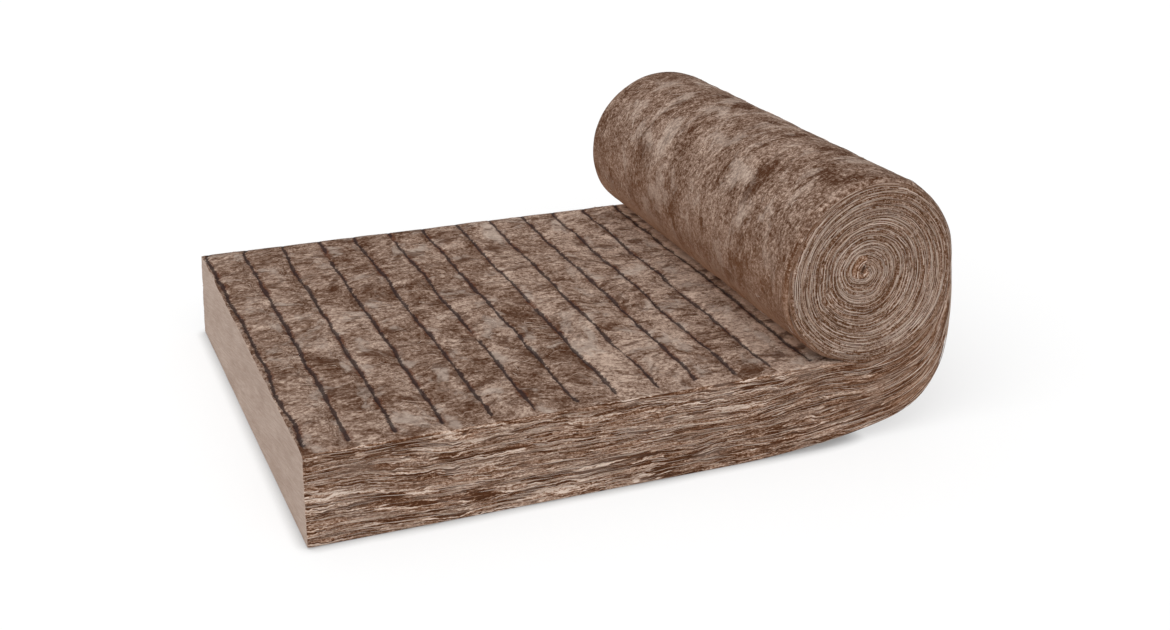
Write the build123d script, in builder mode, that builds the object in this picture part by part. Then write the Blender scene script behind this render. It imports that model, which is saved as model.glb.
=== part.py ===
from build123d import *
import math
import os

# A mineral-wool insulation mat, laid flat at its cut end and still wound up at the other end.
# Millimetres and degrees. X runs from the cut end to the roll, Y across the mat, Z is up.
# The origin is on the floor, under the middle of the whole piece.

# The mat
mat_width = 1200.0
mat_thickness = 224.0
laid_length = 1358.0  # from the cut end to the axis of the roll
edge_radius = 6.0  # worn outline of the two side faces and the cut end

# The roll at the end of the mat, and the turns that show on its ends
roll_radius = 216.0
roll_sink = 10.0  # how deep the roll presses into the laid mat
nip_radius = 2.0  # round at the bottom of the gap between roll and mat
turn_pitch = 31.0  # thickness of the mat where it is wound tight
seam_width = 4.0
seam_depth = 6.0
core_width = 10.0
core_height = 22.0

# The outer wrap, from the floor up the back and over the roll: radius of each arc, and where it starts
sole_radius = 2000.0
heel_radius = 186.0
shoulder_radius = 222.0
heel_angle = -78.0
back_angle = -12.0
shoulder_angle = 8.0
roll_angle = 96.0

# Cutting guides pressed across the top of the laid mat
guide_pitch = 100.0
guide_first = 24.0  # from the cut end to the first guide
guide_width = 8.0
guide_depth = 2.5
guide_margin = 30.0  # left plain beside the front edge

overrun = 1.0  # how far a cut runs past the face that it opens


def toward(angle):
    """Unit vector of the side section at an angle from X towards Z."""
    return Vector(math.cos(math.radians(angle)), math.sin(math.radians(angle)))


# Centres of the arcs, in the side section, measured from the foot of the cut end.
# Each arc runs on from the one before it; the back's radius closes the chain down to the floor.
roll_centre = Vector(laid_length, mat_thickness - roll_sink + roll_radius)
shoulder_centre = roll_centre - toward(roll_angle) * (shoulder_radius - roll_radius)
heel_height = sole_radius + toward(heel_angle).Y * (sole_radius - heel_radius)
back_drop = shoulder_centre.Y + toward(shoulder_angle).Y * shoulder_radius
back_rise = heel_height + toward(back_angle).Y * heel_radius
back_radius = (back_drop - back_rise) / (toward(shoulder_angle).Y - toward(back_angle).Y)
back_centre = shoulder_centre - toward(shoulder_angle) * (back_radius - shoulder_radius)
heel_centre = back_centre + toward(back_angle) * (back_radius - heel_radius)
sole_centre = heel_centre - toward(heel_angle) * (sole_radius - heel_radius)

# The nip is where the roll meets the top of the laid mat; its round reaches a little out of it
nip_angle = 180 + math.degrees(math.asin((roll_radius - roll_sink) / roll_radius))
nip = roll_centre + toward(nip_angle) * roll_radius
nip_reach = nip_radius / math.tan(math.radians(270 - nip_angle) / 2)

overall_length = back_centre.X + back_radius
side_section = Plane(origin=(-overall_length / 2, 0, 0), x_dir=(1, 0, 0), z_dir=(0, -1, 0))
front_end = side_section.offset(mat_width / 2)
back_end = side_section.offset(-mat_width / 2)
mat_top = Plane(origin=(-overall_length / 2, 0, mat_thickness))


def seam_chain(inset):
    """Arcs of the seam between the turns, from the nip inwards, drawn inset from its middle line."""
    start = nip_angle - math.degrees(nip_reach / roll_radius)
    arcs = [(roll_centre, roll_radius - inset, start, 270 - start)]
    half_turns = int(2 * (roll_radius - core_height) / turn_pitch)
    for half_turn in range(1, half_turns):
        rising = half_turn % 2
        centre = roll_centre - Vector(0, turn_pitch / 2) * rising
        radius = roll_radius - half_turn * turn_pitch / 2
        arcs.append((centre, radius - inset, -90 if rising else 90, 180))
    return arcs


with BuildPart() as wool_mat:
    # Laid mat, outer wrap and roll in one side section
    with BuildSketch(side_section):
        with BuildLine():
            Line((0, mat_thickness), (0, 0))
            Line((0, 0), (sole_centre.X, 0))
            CenterArc(sole_centre, sole_radius, -90, heel_angle + 90)
            CenterArc(heel_centre, heel_radius, heel_angle, back_angle - heel_angle)
            CenterArc(back_centre, back_radius, back_angle, shoulder_angle - back_angle)
            CenterArc(shoulder_centre, shoulder_radius, shoulder_angle, roll_angle - shoulder_angle)
            CenterArc(roll_centre, roll_radius, roll_angle, nip_angle - roll_angle)
            Line(nip, (0, mat_thickness))
        make_face()
        fillet(vertices().sort_by_distance(nip)[0], radius=nip_radius)
    extrude(amount=mat_width / 2, both=True)

    # Soft outline of the side faces and the cut end
    side_faces = wool_mat.faces().filter_by(Axis.Y)
    cut_end = wool_mat.faces().sort_by(Axis.X)[0]
    fillet(side_faces.edges() + cut_end.edges().filter_by(Axis.Y), radius=edge_radius)

    # The turns on both ends of the roll
    for end, inward in ((front_end, -1), (back_end, 1)):
        with BuildSketch(end):
            with BuildLine():
                outer = [CenterArc(*arc) for arc in seam_chain(-seam_width / 2)]
                inner = [CenterArc(*arc) for arc in seam_chain(seam_width / 2)]
                Line(outer[0] @ 0, inner[0] @ 0)
                Line(outer[-1] @ 1, inner[-1] @ 1)
            make_face()
        extrude(amount=inward * seam_depth, mode=Mode.SUBTRACT)

    # Bore left in the core of the roll
    with BuildSketch(side_section):
        with Locations(roll_centre - Vector(0, turn_pitch / 4)):
            SlotOverall(core_height, core_width, rotation=90)
    extrude(amount=mat_width / 2 + overrun, both=True, mode=Mode.SUBTRACT)

    # Cutting guides, which run out at the back edge
    guide_count = int((nip.X - guide_first - guide_width) / guide_pitch) + 1
    guide_length = mat_width - guide_margin + overrun
    with BuildSketch(mat_top):
        for index in range(guide_count):
            with Locations((guide_first + index * guide_pitch, (guide_margin + overrun) / 2)):
                Rectangle(guide_width, guide_length)
    extrude(amount=-guide_depth, mode=Mode.SUBTRACT)

wool_mat.part.label = "wool_mat"

os.makedirs("parts", exist_ok=True)
export_step(wool_mat.part, "parts/wool_mat.step")
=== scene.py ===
import itertools
import math

import bpy
import numpy as np
from mathutils import Matrix, Vector


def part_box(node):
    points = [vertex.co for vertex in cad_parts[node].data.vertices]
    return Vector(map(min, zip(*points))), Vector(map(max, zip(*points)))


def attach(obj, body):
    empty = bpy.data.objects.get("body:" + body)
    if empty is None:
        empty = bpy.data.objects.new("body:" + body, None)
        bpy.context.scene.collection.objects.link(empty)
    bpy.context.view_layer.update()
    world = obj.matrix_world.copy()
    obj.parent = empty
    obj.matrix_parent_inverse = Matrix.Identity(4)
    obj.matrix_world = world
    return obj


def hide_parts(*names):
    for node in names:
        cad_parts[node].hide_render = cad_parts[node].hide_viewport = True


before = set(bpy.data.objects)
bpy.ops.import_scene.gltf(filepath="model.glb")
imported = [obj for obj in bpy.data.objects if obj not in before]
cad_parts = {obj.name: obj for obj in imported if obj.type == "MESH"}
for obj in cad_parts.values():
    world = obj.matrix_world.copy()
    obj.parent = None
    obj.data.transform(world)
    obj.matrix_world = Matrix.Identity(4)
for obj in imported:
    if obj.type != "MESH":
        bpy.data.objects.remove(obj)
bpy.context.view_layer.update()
LOW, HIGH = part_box("wool_mat")
X0, Y0 = LOW.x, LOW.y  # foot of the cut end, on the front side
WIDTH = HIGH.y - LOW.y

# Side section of the mat, as in the solid, in metres and degrees, measured from the foot of the cut end
THICK = 0.224
ROLL_R, ROLL_X, SINK, TURN = 0.216, 1.358, 0.010, 0.031
SOLE_R, HEEL_R, SHOULDER_R = 2.0, 0.186, 0.222
HEEL_A, BACK_A, SHOULDER_A, ROLL_A = -78.0, -12.0, 8.0, 96.0
CORE_WIDTH, CORE_HEIGHT, CORE_LEAN = 0.009, 0.021, 14.0
GUIDE_PITCH, GUIDE_FIRST, GUIDE_WIDTH, GUIDE_MARGIN = 0.100, 0.024, 0.008, 0.034
# How far each guide lies from its even place, from the cut end on, and how far it wavers
GUIDE_STRAYS = (-0.011, -0.014, -0.010, -0.007, 0, 0, 0, 0, 0, 0, -0.004, -0.010, -0.006)
GUIDE_WAVER, WAVER_REACH = 0.0045, (0.045, 0.012)
WAVER_SIDES, WAVER_END, WAVER_END_FADE = 0.03, 0.004, 0.013  # no wavering at the edges of the top

# The roll as it lies: a little fuller at the front than at the back, out of square, and sagging over the mat
TAPER, TAPER_RISE, SKEW = 0.052, 0.15, 0.011
SAG, SAG_RIGHT_SHARE = 0.008, 0.1
BACK_SHARES = (0.2, 0.7)  # where the back of the roll begins, in shares of its radius
HEEL_OUT, HEEL_RISE, HEEL_FALL = 0.011, (0.0, 0.16), (0.45, 0.2)  # how far, and between which heights
SHOULDER_IN, SHOULDER_RISE = 0.007, (0.48, 0.60)
FOOT_OUT, FOOT_REACH = 0.008, 0.25  # the cut end's foot, pushed out towards the back
CORE_SHIFT = (-0.031, 0.017)  # the turns are tighter on the side of the laid mat

# How finely the mat is meshed, and how round its edges are
COLUMNS, COARSE_COLUMNS = 138, 12
TURN_ROWS, CUT_ROWS, TURNS = 132, 40, 6.54
LAID_STEP, SIDE_STEP = 0.0126, 0.0032
LAID_ROUND, ROLL_ROUND = 0.005, 0.032
BEVEL = 1 - math.sqrt(0.5)  # share of a round by which its middle falls away
SEAM_DEEP, SEAM_HALF = 0.0014, 0.0024
SEAM_WAVER = 0.003
CORE_DEEP = 0.05
# Rings of the core: share of the way out from its slit, depth, and crease, which the materials paint as shade
CORE_RINGS = ((0.9, 0.0005, 0.1), (0.6, -0.001, 0.0), (0.3, 0.0, 0.1), (0, 0.002, 0.6), (0, CORE_DEEP, 1))
BACK_SHIFT = 9.0  # keeps the back side's pattern from repeating the front side's
RING_GAP = TURN / 4
RING_FADE = (0.002, 0.010)  # where the rings begin, from the outer face

# Relief of the wool
PILLOW_HIGH, WRINKLE_HIGH, TOP_SWELL, GROOVE_DEEP = 0.0016, 0.0022, 0.0024, 0.0034
RIDGE_HIGH, CRACK_DEEP, SIDE_SWELL = 0.0022, 0.0036, 0.0025
LONG_DRIFT, MID_DRIFT, SHORT_DRIFT = 0.011, 0.0050, 0.0020
LUMP_HIGH, DRAWN_HIGH, CUT_LAYER_HIGH = 0.0010, 0.0007, 0.0008
NIP_BULGE = 0.009  # how much fuller the roll is just above the nip
NIP_SMOOTH, BULGE_RISE, BULGE_FALL = 0.05, 0.09, (0.30, 0.10)  # along the wrap, from the nip
TOP_STRANDS, WRAP_STRANDS, SIDE_STRANDS = 1500, 450, 2600

# Colours of the wool, as they look on screen
DARK, LOW_TONE, MID_TONE = (74, 45, 28), (105, 73, 53), (137, 106, 87)
HIGH_TONE, LIGHT, PALE = (165, 137, 118), (197, 173, 156), (216, 197, 183)
# The last of these is painted light: a brighter, warmer colour laid where the roll shades the nip.
INK, RUST, BROWN, NIP_PAINTED_LIGHT = (46, 36, 36), (92, 54, 37), (138, 94, 65), (212, 161, 126)
BLEACHED, TOP_LOW, TOP_MID, TOP_HIGH = (184, 168, 156), (104, 79, 64), (133, 108, 93), (162, 139, 124)
CUT_LOW, CUT_HIGH = (152, 131, 118), (190, 172, 160)

# Light: the sky, and soft lamps as (direction towards the lamp, spread, strength)
SKY_LIGHT = 0.55
LAMPS = {"key": ((-0.60, -0.34, 0.72), 50, 0.47), "fill": ((-0.05, -0.75, 0.66), 60, 0.26)}
FLOOR_HALF, FLOOR_GAP = 20.0, 0.0005
FLOOR_WHITE, FLOOR_SEEN, FLOOR_GLOW = 0.8, 0.4, 0.60  # white for the light, and for the camera with a glow
CONTACT_REACH, CONTACT_SHARE = 0.036, 0.4  # how wide and how bright the painted contact shadow beside the mat is

# The camera, worked out from the edges of the mat in the photograph
CAMERA_AT = Vector((-1.3438, -3.3832, 1.7652))
CAMERA_YAW, CAMERA_PITCH, CAMERA_ROLL = 22.942, 23.593, 1.078
CAMERA_LENS = 47.357


def toward(angle):
    """Unit vectors of the side section at angles from X towards Z."""
    angle = np.radians(angle)
    return np.stack([np.cos(angle), np.sin(angle)], -1)


def smooth(low, high, value):
    """0 at low and before it, 1 at high and past it, and a soft step between."""
    t = np.clip((value - low) / (high - low), 0, 1)
    return t * t * (3 - 2 * t)


# Coherent noise for the relief that is modelled in the mesh


def lattice(cell, seed):
    """A repeatable number from 0 to 1 for each whole-number cell."""
    h = cell[..., 0] * 374761393 + cell[..., 1] * 668265263 + cell[..., 2] * 974634777 + seed * 144269504
    h = (h ^ (h >> 13)) * 1274126177 & 0xFFFFFFFF
    return ((h ^ (h >> 16)) & 0xFFFF) / 0xFFFF


def noise(x, y, z, seed):
    """Smooth noise from -1 to 1."""
    point = np.stack(np.broadcast_arrays(x, y, z), -1).astype(float)
    cell = np.floor(point).astype(np.int64)
    part = point - cell
    ease = part ** 3 * (part * (part * 6 - 15) + 10)
    total = 0.0
    for corner in itertools.product((0, 1), repeat=3):
        weight = np.where(np.array(corner) == 1, ease, 1 - ease).prod(-1)
        total = total + weight * lattice(cell + np.array(corner), seed)
    return total * 2 - 1


def fractal(x, y, z, seed, octaves=3, gain=0.5):
    """Noise in octaves, each twice as fine as the one before."""
    total, size = 0.0, 1.0
    for octave in range(octaves):
        fine = 2 ** octave
        total = total + size * noise(x * fine, y * fine, z * fine, seed + octave)
        size *= gain
    return total


# The side section: outer face from the foot of the cut end to the nip, and the seam between the turns

ROLL_C = np.array([ROLL_X, THICK - SINK + ROLL_R])
CORE_C = ROLL_C - np.array([0, TURN / 4]) + np.array(CORE_SHIFT)
SHOULDER_C = ROLL_C - toward(ROLL_A) * (SHOULDER_R - ROLL_R)
HEEL_Z = SOLE_R + toward(HEEL_A)[1] * (SOLE_R - HEEL_R)
BACK_DROP = SHOULDER_C[1] + toward(SHOULDER_A)[1] * SHOULDER_R
BACK_RISE = HEEL_Z + toward(BACK_A)[1] * HEEL_R
BACK_R = (BACK_DROP - BACK_RISE) / (toward(SHOULDER_A)[1] - toward(BACK_A)[1])
BACK_C = SHOULDER_C - toward(SHOULDER_A) * (BACK_R - SHOULDER_R)
HEEL_C = BACK_C + toward(BACK_A) * (BACK_R - HEEL_R)
SOLE_C = HEEL_C - toward(HEEL_A) * (SOLE_R - HEEL_R)
NIP_A = 180 + math.degrees(math.asin((ROLL_R - SINK) / ROLL_R))
NIP_X = (ROLL_C + toward(NIP_A) * ROLL_R)[0]
ARCS = [(SOLE_C, SOLE_R, -90.0, HEEL_A), (HEEL_C, HEEL_R, HEEL_A, BACK_A),
        (BACK_C, BACK_R, BACK_A, SHOULDER_A), (SHOULDER_C, SHOULDER_R, SHOULDER_A, ROLL_A),
        (ROLL_C, ROLL_R, ROLL_A, NIP_A)]
ARC_STARTS = np.cumsum([SOLE_C[0]] + [radius * math.radians(end - start) for _, radius, start, end in ARCS])


def outer_face(s):
    """Points and outward normals at lengths s along the outer face."""
    point = np.stack([s, np.zeros_like(s)], -1)
    normal = np.tile([0.0, -1.0], (len(s), 1))
    for (centre, radius, start, _), begins in zip(ARCS, ARC_STARTS):
        on = s >= begins
        normal[on] = toward(start + np.degrees((s[on] - begins) / radius))
        point[on] = centre + normal[on] * radius
    return point, normal


def outer_length(angle):
    """Length along the outer face at an angle on the shoulder or the roll."""
    on_shoulder = ARC_STARTS[3] + SHOULDER_R * np.radians(angle - SHOULDER_A)
    on_roll = ARC_STARTS[4] + ROLL_R * np.radians(angle - ROLL_A)
    return np.where(angle < ROLL_A, on_shoulder, on_roll)


def seam(angle):
    """Points of the seam between the turns, which winds inwards from the nip."""
    half_turn = np.maximum(np.floor((angle + 90) / 180) + 1, 0)
    centre = ROLL_C - np.stack([np.zeros_like(angle), half_turn % 2 * TURN / 2], -1)
    depth = half_turn * TURN / 2
    way = toward(angle)
    inward = np.clip((angle - angle[0]) / 360 * TURN / ROLL_R, 0, 1)
    waver = SEAM_WAVER * smooth(0.1, 0.3, inward) * fractal(way[:, 0] * 2, way[:, 1] * 2, angle / 300, 5)
    shift = np.multiply.outer(smooth(0, 0.9, inward), CORE_SHIFT)
    return centre + way * (ROLL_R - depth + waver)[:, None] + shift


# Rows of the mesh: across the laid mat, and then round the roll


def laid_rows():
    """Places along the laid mat, closer together beside the cutting guides."""
    beside = np.array([-0.75, -0.375, 0.0, 0.375, 0.75]) * GUIDE_WIDTH
    places = [0.0]
    for guide in np.arange(GUIDE_FIRST, NIP_X - GUIDE_WIDTH, GUIDE_PITCH):
        gap = guide + beside[0] - places[-1]
        places += list(np.linspace(places[-1], guide + beside[0], max(2, round(gap / LAID_STEP)) + 1)[1:-1])
        places += list(guide + beside)
    return np.array(places + list(np.linspace(places[-1], NIP_X, 6)[1:]))


LAID = laid_rows()
TURN_A = NIP_A - 360 + np.arange(int(TURNS * TURN_ROWS)) * 360 / TURN_ROWS
RISING = TURN_A[:TURN_ROWS + 1]
UP_THE_BACK = NIP_X + (ARC_STARTS[3] - NIP_X) * (RISING - RISING[0]) / (SHOULDER_A - RISING[0])
OUTER_S = np.where(RISING < SHOULDER_A, UP_THE_BACK, outer_length(np.maximum(RISING, SHOULDER_A)))
NIP_S = OUTER_S[-1]  # length of the outer face from the cut end to the nip
SEAM = seam(TURN_A)
EDGE_COLUMNS = np.array([0.0, 0.45, 0.7]) * ROLL_ROUND
COLUMN_W = np.concatenate([EDGE_COLUMNS, np.linspace(ROLL_ROUND, WIDTH - ROLL_ROUND, COLUMNS - 5),
                           WIDTH - EDGE_COLUMNS[::-1]])

# Every row through the mat, seen from the side: foot on the outer face, head on the inner one
SPIRAL = len(LAID)
FEET = np.concatenate([outer_face(LAID)[0], outer_face(OUTER_S[1:])[0], SEAM[1:len(SEAM) - TURN_ROWS]])
HEADS = np.concatenate([np.stack([LAID, np.full_like(LAID, THICK)], -1), SEAM[1:]])
MIDDLE = (FEET + HEADS) / 2
ROW_U = np.concatenate([[0], np.cumsum(np.linalg.norm(np.diff(MIDDLE, axis=0), axis=1))])
ROW_THICK = np.linalg.norm(HEADS - FEET, axis=1)
ROW_A = np.concatenate([np.full(SPIRAL, TURN_A[0]), TURN_A[1:]])
WOUND = smooth(-100, 30, ROW_A)
# Places of the rows in the pattern, whose marks are shorter on the roll
PATTERN_U = np.concatenate([[0], np.cumsum(np.diff(ROW_U) * (1 + 2 * WOUND[1:]))])
FOOT_ROUND = LAID_ROUND + (ROLL_ROUND - LAID_ROUND) * smooth(-100, -20, ROW_A) * smooth(252, 120, ROW_A)
FOOT_ROUND[SPIRAL + TURN_ROWS:] = 0
HEAD_ROUND = np.where(np.arange(len(FEET)) < SPIRAL, LAID_ROUND, 0.0)


# Relief of each face: height above the plain face, and how deep in a crease a place is, which the materials
# paint as shade


def from_guide(u):
    """Distance to the nearest guide's even place."""
    return np.abs((u - GUIDE_FIRST + GUIDE_PITCH / 2) % GUIDE_PITCH - GUIDE_PITCH / 2)


def top_relief(u, w):
    """The laid mat's top: soft pillows between the guides, wrinkles along the mat, and the pressed guides."""
    off = from_guide(u)
    strip = np.floor((u - GUIDE_FIRST) / GUIDE_PITCH)
    pillow = PILLOW_HIGH * np.sqrt(off / (GUIDE_PITCH / 2))
    bend = 0.02 * fractal(u * 6, w * 4, strip * 3.7, 11, 2)
    wrinkle = fractal(u * 9 + strip * 5.3, (w + bend) * 30, strip, 12, 3, 0.55)
    swell = fractal(u * 5, w * 5, 0.0, 15, 3)
    runs = smooth(GUIDE_MARGIN - 0.01, GUIDE_MARGIN + 0.01, w) * (0.7 + 0.3 * noise(u * 40, w * 22, 0.0, 17))
    groove = runs * np.exp(-(off / (GUIDE_WIDTH * 0.5)) ** 2)
    inside = 0.3 + 0.7 * smooth(0, 0.04, np.minimum(w, WIDTH - w))
    height = (pillow + WRINKLE_HIGH * wrinkle + TOP_SWELL * swell - GROOVE_DEEP * groove) * inside
    crease = np.clip(-wrinkle - 0.15, 0, 1) + 0.3 * groove
    return height, crease


def layer_drift(u, layer, w):
    """How far the layers of a side face stray up and down, in long waves with short ones on them."""
    long_wave = LONG_DRIFT * noise(u * 2.2, layer * 6, w, 20)
    mid_wave, short_wave = noise(u * 9, layer * 15, w, 21), noise(u * 24, layer * 38, w, 22)
    return long_wave + (MID_DRIFT * mid_wave + SHORT_DRIFT * short_wave)


def side_relief(u, drifted, w, wound, gap):
    """A side face: ridges along the drifted layers, open splits, and the seam between the wound turns."""
    loose = 1 - 0.6 * wound
    ridges = (1 - 0.9 * wound) * fractal(u * 6, drifted * 60, w, 23, 3, 0.6)
    split = noise(u * 3.2, drifted * 52, w + 7, 26)
    torn = smooth(-0.2, 0.4, noise(u * 2.5, drifted * 14, w + 3, 27))
    crack = np.exp(-(split / 0.22) ** 2) * torn
    rim = np.exp(-(gap / SEAM_HALF) ** 2)
    swell = fractal(u * 3, drifted * 11, w, 29, 2)
    height = RIDGE_HIGH * ridges - CRACK_DEEP * crack * loose - SEAM_DEEP * rim + SIDE_SWELL * swell * loose
    return height, np.clip(crack + 0.5 * rim + 0.3 * np.clip(-ridges, 0, 1), 0, 1)


def wrap_relief(s, w):
    """The outer face on the roll: low felted lumps, drawn out round the roll."""
    lumps = fractal(s * 9, w * 13, 0.0, 31, 3)
    drawn = fractal(s * 14, w * 55, 0.0, 34, 2)
    to_nip = ARC_STARTS[-1] - s
    height = (LUMP_HIGH * lumps + DRAWN_HIGH * drawn) * smooth(0, NIP_SMOOTH, to_nip)
    height = height + NIP_BULGE * smooth(0, BULGE_RISE, to_nip) * smooth(*BULGE_FALL, to_nip)
    return height, np.clip(-drawn - 0.2, 0, 1)


def cut_relief(v, w):
    """The cut end: nearly flat, with the layers just standing out."""
    layers = fractal(v * THICK * 60 + w * 2.5, w * 7, 0.0, 41, 3)
    return CUT_LAYER_HIGH * layers, np.clip(-layers - 0.3, 0, 1)


def guide_waver(u, w):
    """How far each guide, and what lies beside it, strays along the mat."""
    guide = np.round((u - GUIDE_FIRST) / GUIDE_PITCH)
    stray = np.take(GUIDE_STRAYS, np.clip(guide, 0, len(GUIDE_STRAYS) - 1).astype(int))
    stray = stray + GUIDE_WAVER * fractal(guide * 7.3, w * 7, 0.0, 51, 3)
    from_sides = smooth(0, WAVER_SIDES, np.minimum(w, WIDTH - w))
    from_end = np.clip((u - WAVER_END) / WAVER_END_FADE, 0, 1)
    return stray * from_sides * smooth(*WAVER_REACH, from_guide(u)) * from_end


def fallen(gap, radius):
    """How far a rounded edge has fallen away at a distance from the plain outline."""
    share = np.clip(1 - gap / np.maximum(radius, 1e-9), 0, 1)
    return radius * (1 - np.sqrt(1 - share ** 2))


def as_it_lies(points):
    """Gives the roll its slight taper, turn out of square and sag, and the cut end its stray foot."""
    points = np.array(points, float)
    forward = 1 - 2 * (points[..., 1] - Y0) / WIDTH
    height = points[..., 2].copy()
    risen = smooth(THICK, THICK + TAPER_RISE, height)
    from_axis = (points[..., 0] - X0 - ROLL_X) / ROLL_R
    sagging = SAG_RIGHT_SHARE + (1 - SAG_RIGHT_SHARE) * np.clip(-from_axis, 0, 1)
    at_back = smooth(*BACK_SHARES, from_axis)
    heel = at_back * smooth(*HEEL_RISE, height) * smooth(*HEEL_FALL, height)
    shoulder = at_back * smooth(*SHOULDER_RISE, height) * (1 + forward) / 2
    points[..., 0] += HEEL_OUT * heel - SHOULDER_IN * shoulder - (SAG + SKEW * forward) * risen * sagging
    low = np.clip(1 - height / THICK, 0, 1) * (1 - forward) / 2
    points[..., 0] -= FOOT_OUT * low * smooth(FOOT_REACH, 0, points[..., 0] - X0)
    points[..., 2] += np.maximum(height - THICK, 0) * TAPER * forward
    points[..., 2] = np.maximum(points[..., 2], 0)
    return points


# The mat as one closed mesh

TOP, SIDE, WRAP, CUT = range(4)
CHART_GAP = 0.02
CHART_RIGHT = WIDTH + CHART_GAP
CHART_AT = {"top": (0, 0), "cut": (0, NIP_X + CHART_GAP), "under": (0, NIP_X + THICK + 2 * CHART_GAP),
            "wrap": (CHART_RIGHT, 0), "front": (CHART_RIGHT, 1.58), "back": (CHART_RIGHT, 2.26)}
CHART_SIDE = 2.95


def chart(name, across, along):
    """Points of the bake's map: each face of the mat has a place of its own, at one scale."""
    left, low = CHART_AT[name]
    across, along = np.broadcast_arrays(across, along)
    return np.stack([(left + across) / CHART_SIDE, (low + along) / CHART_SIDE], -1)


def new_piece(name, points, faces, materials, kinds):
    """A smooth mesh object, with the number of each face's material."""
    mesh = bpy.data.meshes.new(name)
    mesh.from_pydata(points.tolist(), [], faces)
    for material in materials:
        mesh.materials.append(material)
    mesh.polygons.foreach_set("material_index", kinds.astype(np.int32))
    mesh.polygons.foreach_set("use_smooth", np.ones(len(kinds), bool))
    mesh.update()
    piece = bpy.data.objects.new(name, mesh)
    bpy.context.scene.collection.objects.link(piece)
    return piece


def make_row(numbers, shares, u, layer, w, points):
    """A row of vertices: numbers, shares along it, places in the wool, and points of the bake's map."""
    return numbers, shares, np.stack(np.broadcast_arrays(u, layer, w), -1).astype(float), points


class MatMesh:
    """Collects the mat's vertices and faces, with each corner's place along, through and across the wool."""

    def __init__(self):
        self.points, self.creases, self.wound = [], [], []
        self.faces = {3: [], 4: []}

    def add(self, points, crease, wound=0):
        """Adds vertices and returns their numbers."""
        first = len(self.points)
        self.points += list(np.asarray(points, float))
        self.creases += list(np.broadcast_to(crease, len(points)))
        self.wound += list(np.broadcast_to(wound, len(points)))
        return np.arange(first, len(self.points))

    def put(self, numbers, places, charts, outward, kind):
        """Adds faces by vertex number, turned so that each looks outward."""
        corners = np.array([[self.points[n] for n in face] for face in numbers])
        normal = np.cross(corners[:, 2] - corners[:, 0], corners[:, -1] - corners[:, 1])
        wrong = (normal * np.asarray(outward)).sum(1) < 0
        for part in (numbers, places, charts):
            part[wrong] = part[wrong, ::-1]
        self.faces[numbers.shape[1]].append((numbers, places, charts, np.full(len(numbers), kind)))

    def band(self, a, b, outward, kind):
        """Faces between two rows."""
        if len(a[0]) == len(b[0]):
            at = np.arange(len(a[0]) - 1)
            corners = ((a, at), (a, at + 1), (b, at + 1), (b, at))
            self.put(*[np.stack([row[k][at] for row, at in corners], 1) for k in (0, 2, 3)], outward, kind)
            return
        i, j, corners = 0, 0, []
        while i < len(a[0]) - 1 or j < len(b[0]) - 1:
            next_a = a[1][i + 1] if i < len(a[0]) - 1 else np.inf
            next_b = b[1][j + 1] if j < len(b[0]) - 1 else np.inf
            if next_a <= next_b:
                corners.append(((a, i), (a, i + 1), (b, j)))
                i += 1
            else:
                corners.append(((a, i), (b, j + 1), (b, j)))
                j += 1
        parts = [np.array([[row[k][at] for row, at in face] for face in corners]) for k in (0, 2, 3)]
        self.put(*parts, outward, kind)

    def bands(self, rows, outward, kind):
        """Faces between each row and the next."""
        for a, b in zip(rows, rows[1:]):
            self.band(a, b, outward, kind)

    def finish(self, name, materials):
        """The Blender object."""
        parts = self.faces[4] + self.faces[3]
        faces = [face for part in parts for face in part[0].tolist()]
        kinds = np.concatenate([part[3] for part in parts])
        piece = new_piece(name, as_it_lies(self.points), faces, materials, kinds)
        places, charts = [np.concatenate([part[k].ravel() for part in parts]) for k in (1, 2)]
        place = piece.data.attributes.new("place", "FLOAT_VECTOR", "CORNER")
        place.data.foreach_set("vector", places.astype(np.float32))
        for label, values in (("crease", self.creases), ("wound", self.wound)):
            marks = piece.data.attributes.new(label, "FLOAT", "POINT")
            marks.data.foreach_set("value", np.array(values, np.float32))
        bake = piece.data.uv_layers.new(name="OFBake")
        bake.data.foreach_set("uv", charts.astype(np.float32))
        return piece


def between_rounds(radius):
    """Places of the columns across the mat, where its side edges are rounded off by a radius."""
    return np.clip(COLUMN_W, BEVEL * radius, WIDTH - BEVEL * radius)


def skin_points(base, normal, height, radius):
    """Points of a skin row: section points moved along their normals, with the two side edges rounded off."""
    w = between_rounds(radius)
    height = height - fallen(np.minimum(w, WIDTH - w), radius)
    moved = np.broadcast_to(base, (len(w), 2)) + np.multiply.outer(height, normal)
    return np.stack([X0 + moved[:, 0], Y0 + w, moved[:, 1]], -1)


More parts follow.
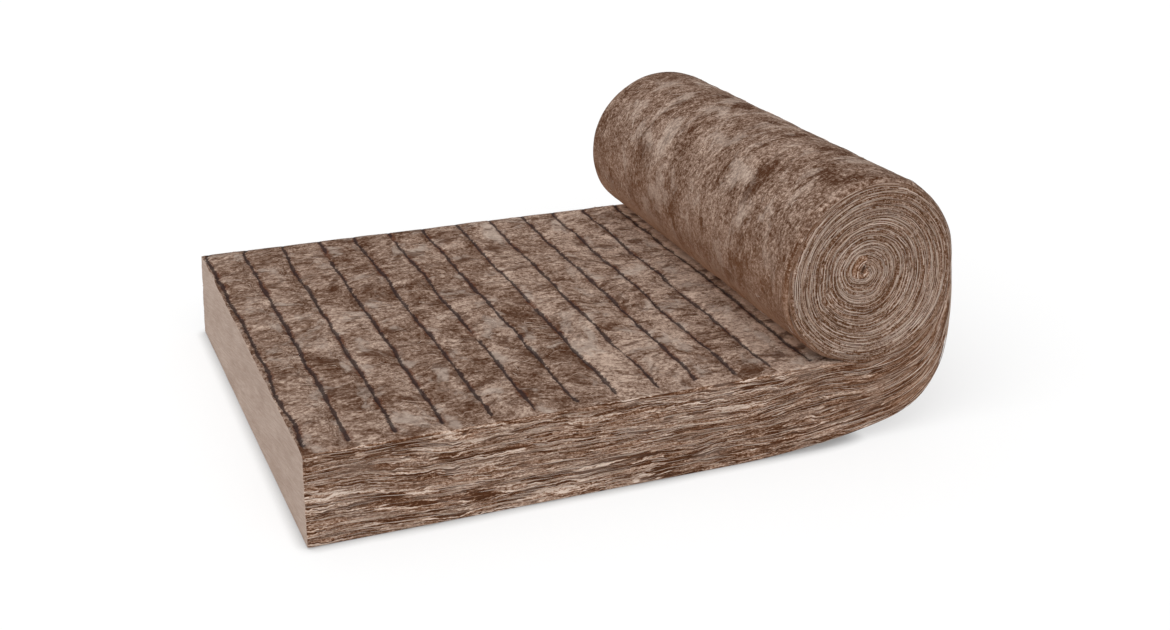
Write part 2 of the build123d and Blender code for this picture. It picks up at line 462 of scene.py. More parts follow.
def build_skin(mat):
    """Top, cut end, underside and outer wrap. Returns their rows, which the side faces join."""
    w = COLUMN_W
    bevel = BEVEL * LAID_ROUND
    top, cut, under, wrap = [], [], [], []

    for u in LAID:
        height, crease = top_relief(np.full_like(w, u), w)
        height = height * smooth(NIP_X, NIP_X - 0.03, u) - (bevel if u == 0 else 0)
        along = u + guide_waver(np.full_like(w, u), w) + (bevel if u == 0 else 0)
        base = np.stack([along, np.full_like(w, THICK)], -1)
        numbers = mat.add(skin_points(base, (0, 1), height, LAID_ROUND), crease)
        top.append(make_row(numbers, w, u, THICK, w, chart("top", w, u)))

    for v in np.linspace(1, 0, CUT_ROWS + 1)[1:-1]:
        height, crease = cut_relief(np.full_like(w, v), w)
        numbers = mat.add(skin_points((0, v * THICK), (-1, 0), height, LAID_ROUND), crease)
        cut.append(make_row(numbers, w, 0, v * THICK, w, chart("cut", w, (1 - v) * THICK)))

    some = np.unique(np.round(np.linspace(0, len(w) - 1, COARSE_COLUMNS + 1)).astype(int))
    for u in LAID:
        columns = np.arange(len(w)) if u in (LAID[0], LAID[-1]) else some
        base, normal = outer_face(np.array([u]))
        base = base + (np.array([bevel, bevel]) if u == 0 else 0)
        numbers = mat.add(skin_points(base, normal[0], np.zeros_like(w), LAID_ROUND)[columns], 0)
        under.append(make_row(numbers, w[columns], u, 0, w[columns], chart("under", w[columns], u)))

    points, normals = outer_face(OUTER_S)
    for index in range(1, TURN_ROWS):
        s = OUTER_S[index]
        height, crease = wrap_relief(np.full_like(w, s), w)
        radius = FOOT_ROUND[SPIRAL + index - 1]
        numbers = mat.add(skin_points(points[index], normals[index], height, radius), crease)
        wrap.append(make_row(numbers, w, s, 0, between_rounds(radius), chart("wrap", w, s - NIP_X)))

    def again(row, u, layer, name, along):
        """The same vertices as the edge of another face."""
        return make_row(row[0], row[1], u, layer, w, chart(name, w, along))

    end_rows = [again(top[0], 0, THICK, "cut", 0.0)] + cut + [again(under[0], 0, 0, "cut", THICK)]
    wrap_rows = [again(under[-1], NIP_X, 0, "wrap", 0.0)] + wrap
    wrap_rows.append(again(top[-1], NIP_S, 0, "wrap", NIP_S - NIP_X))
    mat.bands(top, (0, 0, 1), TOP)
    mat.bands(end_rows, (-1, 0, 0), CUT)
    mat.bands(under, (0, 0, -1), WRAP)
    for a, b, (x, z) in zip(wrap_rows, wrap_rows[1:], normals[1:] + normals[:-1]):
        mat.band(a, b, (x, 0, z), WRAP)
    return top, end_rows, under, wrap_rows


def build_side(mat, skin, end, outward, name):
    """One side face: the laid layers, the bend and the wound turns. Returns the rim of the core."""
    top, end_rows, under, wrap = skin
    w = COLUMN_W[end]
    face_y = Y0 + w
    seam_y = np.full(len(SEAM) - 1, face_y - outward * SEAM_DEEP)
    # The seam's vertices are marked half deep in a crease: painted shade along the seam.
    seam_numbers = mat.add(np.stack([X0 + SEAM[1:, 0], seam_y, SEAM[1:, 1]], -1), 0.5, WOUND[SPIRAL:])
    feet = [row[0][end] for row in under + wrap[1:]] + list(seam_numbers)
    heads = [row[0][end] for row in top] + list(seam_numbers)

    def cross_row(index):
        """One row through the mat, between two vertices that are there already."""
        low, high = mat.points[feet[index]], mat.points[heads[index]]
        thick = np.linalg.norm((high - low)[[0, 2]])
        v = np.linspace(0, 1, max(5, round(thick / SIDE_STEP)) + 1)
        inner = v[1:-1]
        foot_gap, head_gap = inner * thick, (1 - inner) * thick
        seam_below, seam_above = index >= SPIRAL + TURN_ROWS, index >= SPIRAL
        seam_gap = np.minimum(foot_gap if seam_below else 1, head_gap if seam_above else 1)
        drifted = drifted_layer(inner, index)
        height, crease = side_relief(np.full_like(inner, ROW_U[index]), drifted, w, WOUND[index], seam_gap)
        for gap, radius in ((foot_gap, FOOT_ROUND[index]), (head_gap, HEAD_ROUND[index])):
            height = height * smooth(-0.004, max(radius, 0.001), gap) - fallen(gap + BEVEL * radius, radius)
        points = low + (high - low) * inner[:, None]
        points[:, 1] = face_y + outward * height
        ringed = WOUND[index] * (1 if seam_below else smooth(*RING_FADE, foot_gap))
        numbers = np.concatenate([[feet[index]], mat.add(points, crease, ringed), [heads[index]]])
        return side_row(numbers, v, index)

    def drifted_layer(v, index):
        """Places of a row's vertices through the thickness of the unwound mat."""
        return v * THICK + layer_drift(np.full_like(v, ROW_U[index]), v * THICK, w)

    def side_row(numbers, v, index):
        """A row of a side face. Its third place is the depth below the inner face of the mat."""
        points = np.array([mat.points[n] for n in numbers])
        charted = chart(name, points[:, 0] - X0, points[:, 2])
        depth = (1 - v) * np.linalg.norm((points[-1] - points[0])[[0, 2]])
        u = PATTERN_U[index] + BACK_SHIFT * end
        return make_row(numbers, v, u, drifted_layer(v, index), depth, charted)

    cut_numbers = np.array([row[0][end] for row in reversed(end_rows)])
    rows = [side_row(cut_numbers, np.linspace(0, 1, CUT_ROWS + 1), 0)]
    rows += [cross_row(index) for index in range(1, len(heads))]
    mat.bands(rows, (0, outward, 0), SIDE)
    return np.concatenate([heads[-TURN_ROWS - 1:], rows[-1][0][-2::-1]])


def build_core(mat, rim, end, outward, name):
    """The middle of the roll's end, down into the slit that is left there. Returns the slit's inner ring."""
    w = COLUMN_W[end]
    steps = np.arange(len(rim)) / (len(rim) - 1)
    ring = np.array([mat.points[n] for n in rim])[:, [0, 2]] - np.array([X0, 0])
    way = toward(math.degrees(math.atan2(*(ring[0] - CORE_C)[::-1])) + 360 * steps)
    lean = np.stack([toward(-CORE_LEAN), toward(90 - CORE_LEAN)])
    slit = CORE_C + (way @ lean.T * np.array([CORE_WIDTH, CORE_HEIGHT]) / 2) @ lean

    def ring_row(numbers, points):
        """A ring of the core, as a row of the side face."""
        depth = np.linalg.norm(points - slit, axis=1)
        u = PATTERN_U[-1] + BACK_SHIFT * end + 0.4 * steps
        return make_row(numbers, steps, u, depth, depth, chart(name, points[:, 0], points[:, 1]))

    rows = [ring_row(rim, ring)]
    for share, depth, crease in CORE_RINGS:
        points = slit + (ring - slit) * share
        y = np.full(len(rim) - 1, Y0 + w - outward * depth)
        numbers = mat.add(np.stack([X0 + points[:-1, 0], y, points[:-1, 1]], -1), crease, 1)
        rows.append(ring_row(np.append(numbers, numbers[0]), points))
    mat.bands(rows[:-1], (0, outward, 0), SIDE)
    inward = np.stack([-way[:-1, 0], np.zeros(len(way) - 1), -way[:-1, 1]], -1)
    mat.band(rows[-2], rows[-1], inward, SIDE)
    return rows[-1], inward


def build_mat(materials):
    """The whole mat."""
    mat = MatMesh()
    skin = build_skin(mat)
    rings = []
    for end, outward, name in ((0, -1, "front"), (-1, 1, "back")):
        rim = build_side(mat, skin, end, outward, name)
        rings.append(build_core(mat, rim, end, outward, name))
    (front, inward), (back, _) = rings
    mat.band(front, back, inward, SIDE)
    return mat.finish("wool_mat_body", materials)


# Loose strands of wool, thin closed shapes joined into one mesh for each face


def strand_mesh(name, paths, radius, faces_out, shade, materials):
    """Strands along paths (strand, step, xyz), thickest in the middle, each in one of the materials."""
    count, steps, _ = paths.shape
    along = np.gradient(paths, axis=1)
    along /= np.linalg.norm(along, axis=2, keepdims=True)
    side = np.cross(along, faces_out)
    side /= np.linalg.norm(side, axis=2, keepdims=True)
    rise = np.cross(along, side)
    swell = np.sqrt(np.sin(np.linspace(0, math.pi, steps)))[None, :, None] * radius[:, None, None]
    rings = [paths + swell * (math.cos(a) * side + math.sin(a) * rise) for a in np.radians([30, 150, 270])]
    rings = np.stack(rings, 2)[:, 1:-1].reshape(count, -1, 3)
    points = np.concatenate([paths[:, :1], paths[:, -1:], rings], 1)
    last = 2 + 3 * (steps - 3)
    triangles, quads = [], []
    for k, n in ((0, 1), (1, 2), (2, 0)):
        triangles += [(0, 2 + n, 2 + k), (1, last + k, last + n)]
        quads += [(2 + 3 * i + k, 2 + 3 * i + n, 5 + 3 * i + n, 5 + 3 * i + k) for i in range(steps - 3)]
    base = (np.arange(count) * points.shape[1])[:, None, None]
    faces = (base + np.array(quads)).reshape(-1, 4).tolist()
    faces += (base + np.array(triangles)).reshape(-1, 3).tolist()
    kinds = np.concatenate([np.repeat(shade, len(quads)), np.repeat(shade, len(triangles))])
    return new_piece(name, as_it_lies(points).reshape(-1, 3), faces, materials, kinds)


STRAND_STEPS = 8
ARCH = np.sin(np.linspace(0, math.pi, STRAND_STEPS))
SPREAD = np.linspace(-0.5, 0.5, STRAND_STEPS)


def wander(rng, count, length, slant, curl):
    """Paths in a plane, as steps along and across from each strand's middle."""
    angle = rng.normal(0, slant, count)[:, None] + rng.normal(0, curl, count)[:, None] * SPREAD
    angle = angle + rng.normal(0, 0.35, (count, 1)) * np.sin(SPREAD * 9 + rng.uniform(0, 6, (count, 1)))
    step = length[:, None] / (STRAND_STEPS - 1)
    along, across = np.cumsum(step * np.cos(angle), 1), np.cumsum(step * np.sin(angle), 1)
    return along - along.mean(1, keepdims=True), across - across.mean(1, keepdims=True)


def top_strands(count, materials):
    """Strands on the top of the laid mat."""
    rng = np.random.default_rng(61)
    along, across = wander(rng, count, rng.uniform(0.015, 0.05, count), 0.6, 1.2)
    u = np.clip(rng.uniform(0, NIP_X - 0.02, (count, 1)) + along, 0.003, NIP_X - 0.01)
    w = np.clip(rng.uniform(0, WIDTH, (count, 1)) + across, 0.004, WIDTH - 0.004)
    height = top_relief(u, w)[0] + rng.uniform(0.0, 0.0016, (count, 1)) * ARCH
    paths = np.stack([X0 + u, Y0 + w, THICK + height], -1)
    shade = rng.choice(4, count, p=(0.1, 0.35, 0.3, 0.25))
    clear = from_guide(u).min(1) > 1.5 * GUIDE_WIDTH
    radius = rng.uniform(0.0003, 0.0006, count)
    return strand_mesh("wool_strands_top", paths[clear], radius[clear], (0, 0, 1), shade[clear], materials)


def side_strands(name, count, w, outward, seed, materials):
    """Strands along the layers of a side face and round the roll's end."""
    rng = np.random.default_rng(seed)
    share = np.cumsum(ROW_THICK * np.gradient(ROW_U) * (1 + WOUND))
    start = np.interp(rng.uniform(0, share[-1], count), share, ROW_U)
    length = rng.uniform(0.03, 0.14, count)
    u = np.clip(start[:, None] + length[:, None] * SPREAD, 0.002, ROW_U[-1])
    row = np.interp(u, ROW_U, np.arange(len(ROW_U)))
    low = np.floor(row).astype(int).clip(0, len(ROW_U) - 2)
    part = (row - low)[..., None]
    foot = FEET[low] * (1 - part) + FEET[low + 1] * part
    head = HEADS[low] * (1 - part) + HEADS[low + 1] * part
    thick = np.linalg.norm(head - foot, axis=-1)
    layer = rng.uniform(0.015, 0.985, (count, 1)) * THICK
    strays = layer_drift(u, layer, w)
    follows = strays.mean(1, keepdims=True) - strays + rng.normal(0, 0.004, (count, 1)) * SPREAD
    edge = (BEVEL * FOOT_ROUND[low] + 0.002) / thick
    v = np.clip((layer + follows) / THICK, np.maximum(edge, 0.02), 0.98)
    point = foot + (head - foot) * v[..., None]
    wound = np.interp(u, ROW_U, WOUND)
    seam_gap = np.where(row < SPIRAL, 1, np.minimum(v, 1 - v) * thick)
    height = side_relief(u, v * THICK + strays, w, wound, seam_gap)[0]
    for gap, radius in ((v * thick, FOOT_ROUND), ((1 - v) * thick, HEAD_ROUND)):
        height = height - fallen(gap, radius[low])
    height = height + rng.uniform(0.0, 0.0014, (count, 1)) * ARCH
    paths = np.stack([X0 + point[..., 0], Y0 + w + outward * height, point[..., 1]], -1)
    shade = rng.choice(4, count, p=(0.25, 0.3, 0.2, 0.25))
    return strand_mesh(name, paths, rng.uniform(0.0003, 0.0008, count), (0, outward, 0), shade, materials)


def wrap_strands(count, materials):
    """Strands on the outer face of the roll."""
    rng = np.random.default_rng(65)
    along, across = wander(rng, count, rng.uniform(0.012, 0.04, count), 0.6, 1.2)
    s = rng.uniform(ARC_STARTS[1], NIP_S - 0.03, (count, 1)) + along
    s = np.clip(s, ARC_STARTS[0], NIP_S - 0.02)
    w = np.clip(rng.uniform(0.02, WIDTH - 0.02, (count, 1)) + across, ROLL_ROUND, WIDTH - ROLL_ROUND)
    height = wrap_relief(s, w)[0] + rng.uniform(0.0, 0.0014, (count, 1)) * ARCH
    point, normal = outer_face(s.ravel())
    moved = point + normal * height.reshape(-1, 1)
    paths = np.stack([X0 + moved[:, 0], Y0 + w.ravel(), moved[:, 1]], -1).reshape(count, STRAND_STEPS, 3)
    out = np.stack([normal[:, 0], np.zeros(len(normal)), normal[:, 1]], -1).reshape(paths.shape)
    shade = rng.choice(4, count, p=(0.2, 0.35, 0.25, 0.2))
    return strand_mesh("wool_strands_wrap", paths, rng.uniform(0.0003, 0.0006, count), out, shade, materials)


# Materials


def linear(colour):
    """A screen colour as the light that it stands for."""
    parts = [c / 255 for c in colour]
    return [c / 12.92 if c <= 0.04045 else ((c + 0.055) / 1.055) ** 2.4 for c in parts] + [1.0]


class Nodes:
    """Short calls for the nodes of a material or of the world."""

    def __init__(self, owner):
        owner.use_nodes = True
        self.tree = owner.node_tree

    def node(self, kind, *values, **settings):
        """A node with its inputs linked or set, in order; None leaves an input alone."""
        node = self.tree.nodes.new(kind)
        for key, value in settings.items():
            setattr(node, key, value)
        for socket, value in zip(node.inputs, values):
            if isinstance(value, bpy.types.NodeSocket):
                self.tree.links.new(value, socket)
            elif value is not None:
                socket.default_value = value
        return node

    def calc(self, operation, *values):
        """One step of arithmetic."""
        return self.node("ShaderNodeMath", *values, operation=operation).outputs[0]

    def spread(self, value, *ends):
        """A value between two ends, moved to between two others."""
        return self.node("ShaderNodeMapRange", value, *ends).outputs[0]

    def camera_ray(self):
        """1 for what the camera sees directly, and 0 for the rest."""
        return self.node("ShaderNodeLightPath").outputs["Is Camera Ray"]


class Wool(Nodes):
    """A wool material, with short calls for its patterns."""

    def __init__(self, name):
        self.material = bpy.data.materials.new(name)
        super().__init__(self.material)
        self.shader = self.tree.nodes["Principled BSDF"]
        self.shader.inputs["Roughness"].default_value = 0.95
        self.shader.inputs["Specular IOR Level"].default_value = 0.06

    def place(self):
        """Place along, through and across the wool, and the three apart."""
        place = self.node("ShaderNodeAttribute", attribute_name="place").outputs["Vector"]
        return place, self.node("ShaderNodeSeparateXYZ", place).outputs

    def at(self, x, y, z):
        """A place from its three parts."""
        return self.node("ShaderNodeCombineXYZ", x, y, z).outputs[0]

    def mark(self, name):
        """How deep in a crease a place is, which the materials paint as shade, or how far it is wound up,
        from 0 to 1.
        """
        return self.node("ShaderNodeAttribute", attribute_name=name).outputs["Fac"]

    def cloud(self, place, scale, offset=(0, 0, 0), detail=3.0, rough=0.55, swirl=0.0):
        """Noise from 0 to 1 with its own number of cells a metre each way."""
        scaled = self.node("ShaderNodeVectorMath", place, scale, offset, operation="MULTIPLY_ADD").outputs[0]
        node = self.node("ShaderNodeTexNoise", scaled)
        node.inputs["Scale"].default_value = 1.0
        node.inputs["Detail"].default_value = detail
        node.inputs["Roughness"].default_value = rough
        node.inputs["Distortion"].default_value = swirl
        return node.outputs[0]

    def moved(self, place, scale, reach):
        """The place, moved up and down through the layers by a small noise."""
        shift = self.plus(-reach / 2, self.cloud(place, scale, detail=0.0), reach)
        return self.node("ShaderNodeVectorMath", place, self.at(0.0, shift, 0.0), operation="ADD").outputs[0]

    def plus(self, value, part, weight):
        """The value, with a weighted part added."""
        return self.calc("MULTIPLY_ADD", part, weight, value)

    def times(self, value, *parts):
        """The value times each part."""
        for part in parts:
            value = self.calc("MULTIPLY", value, part)
        return value

    def total(self, value, *parts):
        """The value plus each (noise, weight), with the noise centred on zero."""
        for part, weight in parts:
            value = self.plus(value, self.calc("SUBTRACT", part, 0.5), weight)
        return value

    def step(self, value, low, high):
        """A soft step from 0 at low to 1 at high."""
        node = self.node("ShaderNodeMapRange", value, low, high, 0.0, 1.0, interpolation_type="SMOOTHSTEP")
        return node.outputs[0]

    def line(self, value, middle, half):
        """A soft line, 1 in its middle and 0 from half its width on."""
        return self.step(self.calc("ABSOLUTE", self.calc("SUBTRACT", value, middle)), half, half * 0.4)

    def ramp(self, value, stops):
        """The colour at a value, between the colours at the stops."""
        node = self.node("ShaderNodeValToRGB", value)
        elements = node.color_ramp.elements
        while len(elements) < len(stops):
            elements.new(0.5)
        for element, (at, colour) in zip(elements, stops):
            element.position = at
            element.color = colour
        return node.outputs[0]

    def tones(self, value, stops):
        """The wool's colour at a value, from stops in screen colours."""
        return self.ramp(value, [(at, linear(colour)) for at, colour in stops])

    def folds(self, value):
        """Turns the middle value of a noise into thin lines: painted shade in a split, with a painted
        highlight on the lip beside it.
        """
        return self.ramp(value, [(at, (level, level, level, 1)) for at, level in FOLD_STOPS])

    def stain(self, colour, share, weight, tone):
        """The colour, with a weighted share of a tone on it."""
        node = self.node("ShaderNodeMix", self.times(share, weight), data_type="RGBA")
        self.tree.links.new(colour, node.inputs[6])
        node.inputs[7].default_value = linear(tone)
        return node.outputs[2]

    def done(self, colour, height, distance):
        """Joins the colour and the bump to the shader."""
        self.tree.links.new(colour, self.shader.inputs["Base Color"])
        bump = self.node("ShaderNodeBump")
        bump.inputs["Strength"].default_value = 0.8
        bump.inputs["Distance"].default_value = distance
        self.tree.links.new(height, bump.inputs["Height"])
        self.tree.links.new(bump.outputs[0], self.shader.inputs["Normal"])
        return self.material


WOOL_STOPS = ((0.10, DARK), (0.32, LOW_TONE), (0.5, MID_TONE), (0.68, HIGH_TONE), (0.86, LIGHT), (1.0, PALE))
TOP_STOPS = ((0.10, DARK), (0.32, TOP_LOW), (0.5, TOP_MID), (0.68, TOP_HIGH), (0.92, LIGHT))
# Stops of the folds: painted shade in the split, then a painted highlight on its lip.
FOLD_STOPS = ((0.40, 0.5), (0.455, 0.0), (0.485, 0.0), (0.52, 1.0), (0.545, 0.9), (0.60, 0.5))
LAID_VALUE = 0.47  # middle of the values on the laid part of a side face


def top_wool():
    """Felted patches in the strips between the guides, short wrinkles along the mat, and the inked guides."""
    wool = Wool("wool_top")
    place, (u, _, w) = wool.place()
    turns = wool.plus(-GUIDE_FIRST / GUIDE_PITCH, u, 1 / GUIDE_PITCH)
    strip, guide = wool.calc("FLOOR", turns), wool.calc("ROUND", turns)
    off = wool.times(wool.calc("ABSOLUTE", wool.calc("SUBTRACT", turns, guide)), GUIDE_PITCH)
    strip_at = wool.at(strip, 0.0, w)
    tone = wool.cloud(strip_at, (0.77, 1, 2.2), (3, 0, 0), 1.0)
    lean = wool.total(0.0, (wool.cloud(strip_at, (0.91, 1, 4), (7, 0, 0), 0.0), 2.5))
    across = wool.calc("SUBTRACT", u, wool.times(strip, GUIDE_PITCH))
    own = wool.at(u, wool.times(strip, 1.37), wool.plus(w, lean, across))
    patches = wool.cloud(own, (12, 1, 14), (0, 2, 0), 4.0, 0.6, 0.3)
    bleached = wool.step(wool.cloud(own, (14, 1, 12), (2, 5, 0), 4.0, 0.6, 0.3), 0.52, 0.66)
    spots = wool.step(wool.cloud(own, (16, 1, 25), (5, 0, 9), 3.0, 0.6, 0.4), 0.54, 0.65)
    wrinkles = wool.cloud(own, (30, 1, 75), (7, 0, 0), 3.0, 0.6, 0.3)
    flecks = wool.cloud(place, (120, 1, 125), (1, 0, 4), 2.0, 0.6, 0.4)
    fuzz = wool.cloud(place, (300, 1, 300), (0, 0, 0), 2.0, 0.6, 0.4)
    value = wool.total(0.50, (patches, 1.1), (tone, 0.5), (wrinkles, 1.0), (flecks, 1.2), (fuzz, 0.8))
    value = wool.plus(value, wool.step(u, 0.5, NIP_X), 0.10)
    # Painted light: lightened and warmed beside the nip, where the roll shades the top.
    nip_painted_light = wool.times(wool.step(u, NIP_X - 0.12, NIP_X - 0.02), wool.step(w, 0.02, 0.12))
    value = wool.plus(value, nip_painted_light, 0.35)
    colour = wool.tones(value, TOP_STOPS)
    colour = wool.stain(colour, bleached, 0.6, BLEACHED)
    colour = wool.stain(colour, nip_painted_light, 0.40, NIP_PAINTED_LIGHT)
    colour = wool.stain(colour, spots, 0.7, DARK)
    # Painted shade: darker in the creases, the wrinkles' hollows and the pressed guides.
    colour = wool.stain(colour, wool.mark("crease"), 0.25, DARK)

    line = wool.at(guide, 0.0, w)
    broad = wool.cloud(line, (3.7, 1, 34), (0, 4, 0), 2.0)
    broken = wool.step(wool.cloud(line, (5.1, 1, 8), (0, 8, 0), 1.0), 0.30, 0.35)
    starts = wool.total(GUIDE_MARGIN, (wool.cloud(line, (9.3, 1, 0), (0, 6, 0), 0.0), 0.04))
    starts = wool.step(wool.calc("SUBTRACT", w, starts), -0.002, 0.002)
    ragged = wool.total(off, (fuzz, 0.005), (flecks, 0.008), (broad, -0.012))
    ink = wool.times(wool.step(ragged, 0.0062, 0.0028), broken, starts)
    stained = wool.step(wool.cloud(line, (6.1, 1, 14), (0, 3, 0), 2.0), 0.42, 0.62)
    rust = wool.times(wool.step(ragged, 0.0135, 0.0045), stained, starts)
    colour = wool.stain(colour, rust, 0.75, RUST)
    colour = wool.stain(colour, ink, wool.total(0.82, (flecks, 0.5)), INK)
    return wool.done(colour, wool.total(wrinkles, (flecks, 0.5), (fuzz, 0.4)), 0.005)


def side_wool():
    """Layers along the mat, with painted shade in their splits and a painted highlight on each split's lip,
    which become fine broken rings round the roll.
    """
    wool = Wool("wool_side")
    place, (u, _, depth) = wool.place()
    wound = wool.mark("wound")
    bands = wool.cloud(place, (3.5, 24, 1), (0, 0, 0), 3.0, 0.55, 0.4)
    shown = wool.step(wool.cloud(place, (2.2, 16, 1), (2, 7, 0), 2.0), 0.38, 0.62)
    crimped = wool.moved(wool.moved(place, (36, 32, 1), 0.0080), (105, 95, 1), 0.0036)
    splits = wool.cloud(crimped, (3.6, 52, 1), (3, 5, 0), 1.0, 0.5)
    layers = wool.cloud(crimped, (9, 112, 1), (8, 1, 0), 1.0, 0.5)
    grain = wool.cloud(crimped, (120, 210, 1), (1, 2, 0), 2.0, 0.6)
    fuzz = wool.cloud(place, (230, 420, 1), (6, 1, 0), 2.0, 0.6)
    # The folds paint shade into the splits and a highlight on their lips.
    laid = wool.total(LAID_VALUE, (bands, 0.6), (grain, 1.35), (fuzz, 1.0), (wool.folds(layers), 0.7))
    laid = wool.plus(laid, wool.total(0.0, (wool.folds(splits), 1.2)), shown)
    contrast = wool.plus(1.0, wool.step(u, NIP_X - 0.15, NIP_X + 0.25), -0.4)
    laid = wool.plus(LAID_VALUE, wool.calc("SUBTRACT", laid, LAID_VALUE), contrast)
    laid = wool.plus(laid, wool.step(u, 0.4, NIP_X), -0.08)

    round_roll = wool.moved(wool.at(u, depth, 0.0), (3, 40, 1), 0.005)
    round_roll = wool.moved(round_roll, (16, 70, 1), 0.003)
    phase = wool.calc("DIVIDE", wool.node("ShaderNodeSeparateXYZ", round_roll).outputs[1], RING_GAP)
    ring = wool.at(u, wool.times(wool.calc("FLOOR", phase), 3.7), 0.0)
    across = wool.calc("FRACT", phase)
    # Round the roll: a painted highlight on each split's lip and painted shade in the split beside it,
    # strongest next to the seam.
    runs = wool.step(wool.cloud(ring, (1.3, 1, 1), (4, 2, 0), 1.0), 0.36, 0.62)
    dashes = wool.step(wool.cloud(ring, (10, 1, 1), (1, 0, 0), 1.0), 0.44, 0.56)
    beside_seam = wool.plus(0.35, wool.step(depth, 0.019, 0.006), 0.85)
    pale = wool.times(wool.line(across, 0.36, 0.21), runs, dashes, beside_seam)
    shaded = wool.step(wool.cloud(ring, (7, 1, 1), (7, 3, 0), 1.0), 0.47, 0.60)
    dark = wool.times(wool.line(across, 0.74, 0.22), shaded, beside_seam)
    shades = wool.cloud(round_roll, (5, 60, 1), (2, 9, 0), 2.0)
    specks = wool.cloud(round_roll, (42, 130, 1), (5, 1, 0), 2.0, 0.6)
    dust = wool.cloud(round_roll, (100, 300, 1), (2, 4, 0), 2.0, 0.6)
    turns = wool.total(0.46, (shades, 0.3), (specks, 2.0), (dust, 1.8))
    turns = wool.plus(wool.plus(turns, pale, 1.6), dark, -0.50)
    value = wool.plus(laid, wool.calc("SUBTRACT", turns, laid), wound)
    colour = wool.tones(value, WOOL_STOPS)
    felted = wool.step(wool.cloud(place, (7, 28, 1), (11, 2, 0), 3.0, 0.6, 0.4), 0.50, 0.66)
    colour = wool.stain(colour, felted, wool.plus(0.18, wound, -0.18), BLEACHED)
    colour = wool.stain(colour, wound, 0.16, BROWN)
    # Painted shade: darker in the splits, the hollows and the seams between the turns.
    colour = wool.stain(colour, wool.mark("crease"), wool.plus(-0.1, contrast, 0.4), DARK)
    return wool.done(colour, wool.total(layers, (splits, 0.8), (grain, 0.6)), 0.005)


def wrap_wool():
    """The felted outer face: pale and dark clouds, drawn out a little, and browner towards the nip, where
    painted light also lightens and warms it; painted shade darkens it near the ends.
    """
    wool = Wool("wool_wrap")
    place, (s, _, w) = wool.place()
    clouds = wool.cloud(place, (6.5, 1, 7), (1, 0, 3), 4.0, 0.55, 0.5)
    bleached = wool.step(wool.cloud(place, (8, 1, 11), (3, 0, 1), 5.0, 0.68, 0.5), 0.50, 0.62)
    scorched = wool.step(wool.cloud(place, (6, 1, 12), (8, 0, 6), 5.0, 0.65, 0.5), 0.52, 0.65)
    from_middle = wool.calc("ABSOLUTE", wool.calc("SUBTRACT", w, WIDTH / 2))
    edge = wool.step(from_middle, WIDTH / 2 - 0.055, WIDTH / 2 - 0.015)
    near_end = wool.step(from_middle, WIDTH / 2 - 0.18, WIDTH / 2 - 0.03)
    edge_lines = wool.cloud(place, (5, 1, 130), (6, 0, 2), 2.0, 0.6)
    drawn = wool.cloud(place, (34, 1, 46), (4, 0, 0), 3.0, 0.6, 0.5)
    flecks = wool.cloud(place, (115, 1, 125), (2, 0, 5), 2.0, 0.6, 0.4)
    fuzz = wool.cloud(place, (290, 1, 300), (0, 0, 7), 2.0, 0.6, 0.4)
    value = wool.total(0.45, (clouds, 0.6), (drawn, 0.8), (flecks, 1.4), (fuzz, 1.1), (edge_lines, edge))
    # Painted shade: darker near each end of the roll, where the ends lie in shade; the pale patches also fade
    # there.
    value = wool.plus(wool.plus(value, scorched, -0.32), near_end, -0.08)
    bleached = wool.plus(bleached, near_end, wool.times(bleached, -0.8))
    value = wool.plus(value, bleached, 0.16)
    # Painted light: lightened and warmed just above the nip, where the roll and the mat shade each other.
    nip_painted_light = wool.times(wool.step(s, NIP_S - 0.22, NIP_S - 0.06), wool.step(w, 0.02, 0.12))
    # Painted light: a browner tint for warm light bounced off the mat, and a lift in value, growing towards
    # the nip.
    browner_and_lit = wool.step(s, NIP_S - 0.42, NIP_S - 0.08)
    value = wool.plus(wool.plus(value, nip_painted_light, 0.45), browner_and_lit, 0.10)
    colour = wool.tones(value, TOP_STOPS)
    colour = wool.stain(colour, bleached, 0.36, BLEACHED)
    colour = wool.stain(colour, browner_and_lit, 0.6, BROWN)
    colour = wool.stain(colour, nip_painted_light, 0.45, NIP_PAINTED_LIGHT)
    # Painted shade: darker in the hollows of the drawn wool.
    colour = wool.stain(colour, wool.mark("crease"), 0.15, DARK)
    return wool.done(colour, wool.total(drawn, (flecks, 0.7), (fuzz, 0.6)), 0.004)


def cut_wool():
    """The cut end, paler and smoother, with fine slanted streaks."""
    wool = Wool("wool_cut")
    _, (_, layer, w) = wool.place()
    slanted = wool.at(w, wool.plus(layer, w, 0.25), 0.0)
    streaks = wool.cloud(slanted, (16, 210, 1), (0, 0, 0), 3.0, 0.6, 0.4)
    clouds = wool.cloud(slanted, (6, 12, 1), (3, 0, 0), 3.0)
    fuzz = wool.cloud(slanted, (200, 300, 1), (5, 0, 0), 2.0)
    value = wool.total(0.45, (streaks, 0.7), (clouds, 0.5), (fuzz, 0.4))
    colour = wool.tones(value, ((0.2, CUT_LOW), (0.8, CUT_HIGH)))
    # Painted shade: a little darker in the hollows between the layers.
    colour = wool.stain(colour, wool.mark("crease"), 0.12, LOW_TONE)
    return wool.done(colour, wool.total(streaks, (fuzz, 0.5)), 0.0012)


def strand_wool(name, colour):
    """One plain shade of loose strands."""
    wool = Wool(name)
    wool.shader.inputs["Base Color"].default_value = linear(colour)
    return wool.material


# Floor, light and camera


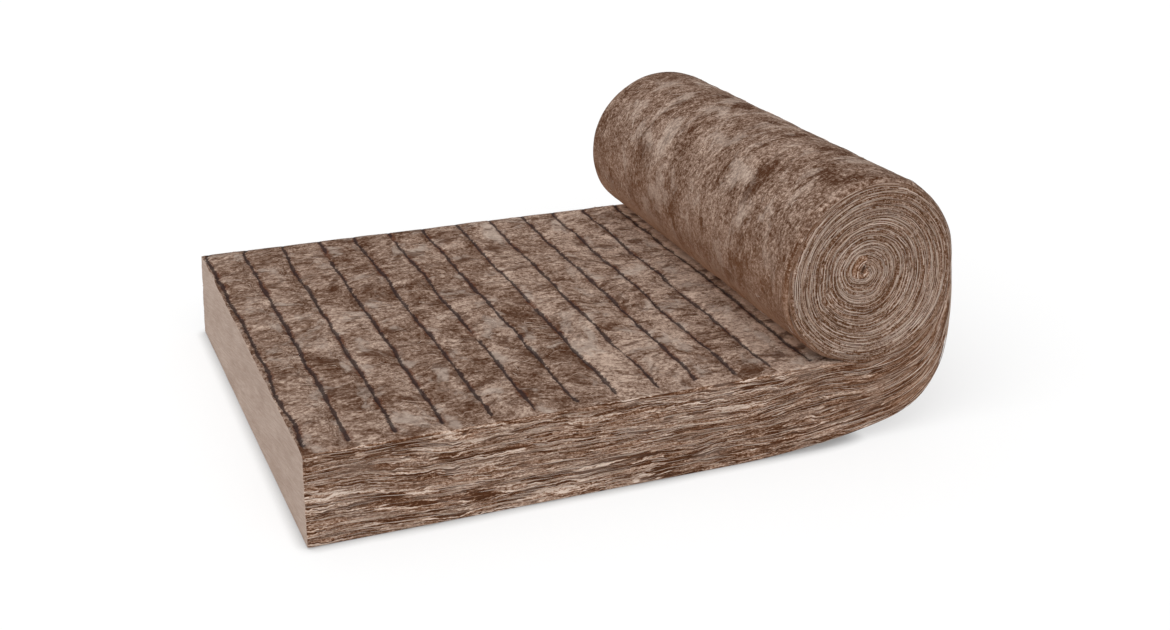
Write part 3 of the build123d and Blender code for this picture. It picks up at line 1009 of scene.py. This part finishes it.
def make_floor():
    """A white floor: part of what the camera sees is its own light, which is dimmed just beside the mat into
    a painted contact shadow.
    """
    material = bpy.data.materials.new("floor_white")
    nodes = Nodes(material)
    nodes.tree.nodes.clear()
    seen = nodes.camera_ray()
    matt = nodes.node("ShaderNodeBsdfDiffuse", nodes.spread(seen, 0.0, 1.0, FLOOR_WHITE, FLOOR_SEEN))
    # Painted shadow: ambient occlusion dims the floor's glow beside the mat.
    beside = nodes.node("ShaderNodeAmbientOcclusion", None, CONTACT_REACH).outputs["AO"]
    lit = nodes.spread(beside, 0.5, 0.95, CONTACT_SHARE, 1.0)
    strength = nodes.calc("MULTIPLY", seen, nodes.calc("MULTIPLY", lit, FLOOR_GLOW))
    glow = nodes.node("ShaderNodeEmission", None, strength)
    both = nodes.node("ShaderNodeAddShader", matt.outputs[0], glow.outputs[0])
    nodes.node("ShaderNodeOutputMaterial", both.outputs[0])
    corners = np.array([(-1, -1, 0), (1, -1, 0), (1, 1, 0), (-1, 1, 0)]) * FLOOR_HALF - (0, 0, FLOOR_GAP)
    new_piece("floor", corners, [(0, 1, 2, 3)], [material], np.zeros(1))


def make_world(strength):
    """An even white sky; the camera sees it as plain white."""
    world = bpy.data.worlds.new("studio")
    nodes = Nodes(world)
    sky = nodes.tree.nodes["Background"]
    sky.inputs["Color"].default_value = (1, 1, 1, 1)
    share = nodes.spread(nodes.camera_ray(), 0.0, 1.0, strength, 1.0)
    nodes.tree.links.new(share, sky.inputs["Strength"])
    bpy.context.scene.world = world


def make_lamp(name, toward_lamp, spread, strength):
    """A soft light from far away; at strength 1 it lights a face squarely as a sky of 1 does."""
    data = bpy.data.lights.new(name, "SUN")
    data.angle = math.radians(spread)
    data.energy = strength * math.pi
    lamp = bpy.data.objects.new(name, data)
    lamp.rotation_mode = "QUATERNION"
    lamp.rotation_quaternion = (-Vector(toward_lamp)).to_track_quat("-Z", "Y")
    bpy.context.scene.collection.objects.link(lamp)


def make_camera():
    """The photograph's view."""
    yaw, pitch, roll = [math.radians(a) for a in (CAMERA_YAW, CAMERA_PITCH, CAMERA_ROLL)]
    ahead = Vector((math.sin(yaw) * math.cos(pitch), math.cos(yaw) * math.cos(pitch), -math.sin(pitch)))
    level = ahead.cross(Vector((0, 0, 1))).normalized()
    above = level.cross(ahead)
    right = math.cos(roll) * level + math.sin(roll) * above
    up = math.cos(roll) * above - math.sin(roll) * level
    camera = bpy.data.objects.new("camera", bpy.data.cameras.new("camera"))
    camera.data.sensor_width = 36.0
    camera.data.lens = CAMERA_LENS
    turn = Matrix((right, up, -ahead)).transposed()
    camera.matrix_world = Matrix.Translation(CAMERA_AT) @ turn.to_4x4()
    bpy.context.scene.collection.objects.link(camera)
    bpy.context.scene.camera = camera


bpy.context.scene.view_settings.view_transform = "Standard"
make_camera()
make_floor()
make_world(SKY_LIGHT)
for lamp_name, lamp_settings in LAMPS.items():
    make_lamp(lamp_name, *lamp_settings)

body = build_mat([top_wool(), side_wool(), wrap_wool(), cut_wool()])
strand_tones = {"strand_pale": PALE, "strand_light": LIGHT, "strand_mid": HIGH_TONE, "strand_dark": LOW_TONE}
strand_shades = [strand_wool(name, tone) for name, tone in strand_tones.items()]
pieces = [body, top_strands(TOP_STRANDS, strand_shades), wrap_strands(WRAP_STRANDS, strand_shades),
          side_strands("wool_strands_front", SIDE_STRANDS, 0.0, -1, 63, strand_shades),
          side_strands("wool_strands_back", SIDE_STRANDS, WIDTH, 1, 64, strand_shades)]
for piece in pieces:
    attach(piece, "root")
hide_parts("wool_mat")
